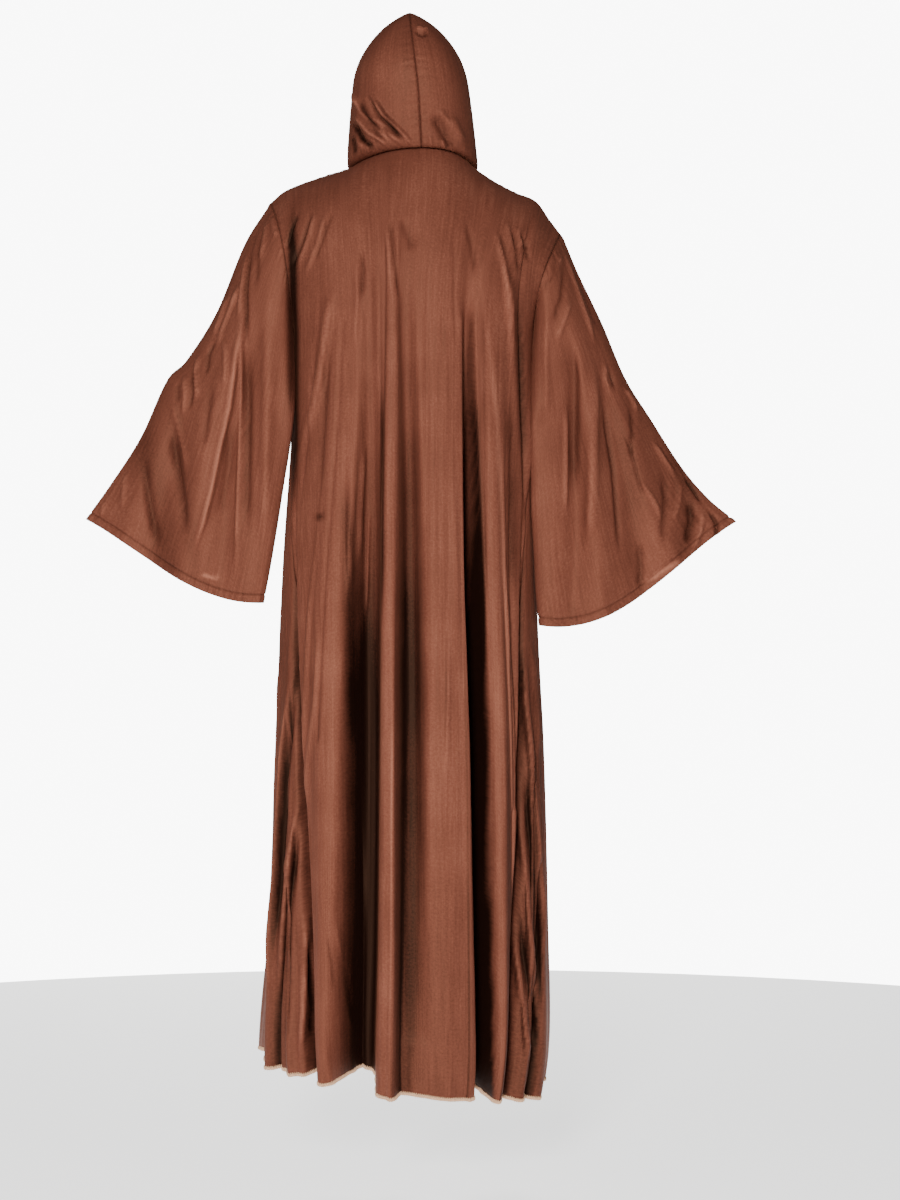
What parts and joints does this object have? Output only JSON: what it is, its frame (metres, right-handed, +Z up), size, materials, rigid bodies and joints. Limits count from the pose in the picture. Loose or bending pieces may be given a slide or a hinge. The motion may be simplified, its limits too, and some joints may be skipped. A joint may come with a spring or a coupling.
{
  "type": "hooded robe",
  "caption": "Long brown hooded robe with wide bell sleeves, an open front and a back that hangs to the ankle in deep folds, as worn with the arms held down and out.",
  "frame": {"origin": "middle of the neck opening, level with the inner ends of the shoulder seams, where the wearer's shoulders carry the robe", "axes": "+Z up, the open front faces -Y, the wearer's left is +X"},
  "size_m": [1.0267, 0.3674, 1.6782],
  "materials": {
    "brown_tricot": "satin polyester knit"
  },
  "bodies": {
    "root": {"back": "brown_tricot", "front_left": "brown_tricot", "front_right": "brown_tricot", "sleeve_left": "brown_tricot", "sleeve_right": "brown_tricot", "hood_left": "brown_tricot", "hood_right": "brown_tricot"}
  },
  "joints": []
}
